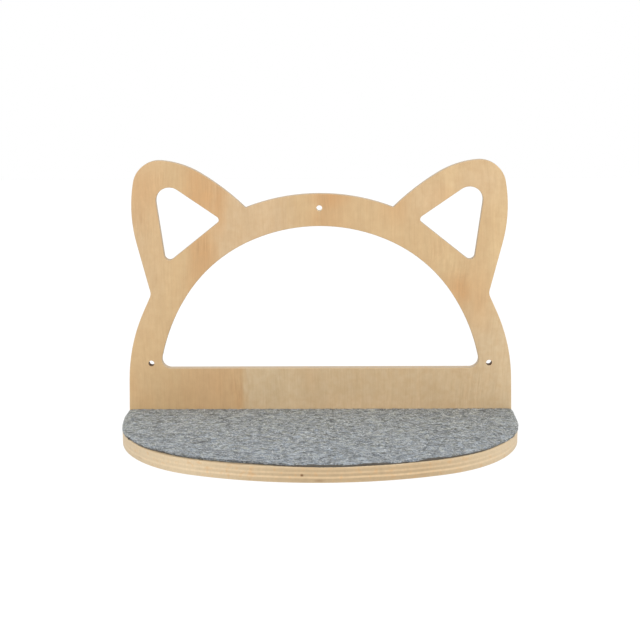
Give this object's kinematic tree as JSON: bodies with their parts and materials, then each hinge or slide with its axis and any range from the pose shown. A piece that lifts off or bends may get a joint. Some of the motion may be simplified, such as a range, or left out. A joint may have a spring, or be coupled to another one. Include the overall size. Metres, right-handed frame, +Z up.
{
  "type": "wall-mounted cat perch",
  "caption": "Wall perch for a cat: a birch plywood frame in the outline of a cat's head carries a D-shaped shelf with a grey felt pad.",
  "frame": {"origin": "on the wall face of the frame, on the centre line, at the underside of frame and shelf", "axes": "+Z up, +Y into the wall, so the shelf reaches towards -Y; +X to the right of someone who faces the wall"},
  "size_m": [0.4, 0.189, 0.278],
  "materials": {
    "birch_plywood": "sanded, clear matt lacquer, bare layered edges",
    "grey_felt": "heathered needle felt",
    "zinc_plated_steel": "satin zinc",
    "beech": "bare wood"
  },
  "bodies": {
    "root": {"back_panel": "birch_plywood", "shelf_board": "birch_plywood", "felt_pad": "grey_felt", "shelf_screw_1": "zinc_plated_steel", "shelf_screw_2": "zinc_plated_steel", "shelf_screw_3": "zinc_plated_steel", "shelf_screw_4": "zinc_plated_steel", "dowel_left": "beech", "dowel_right": "beech"}
  },
  "joints": []
}
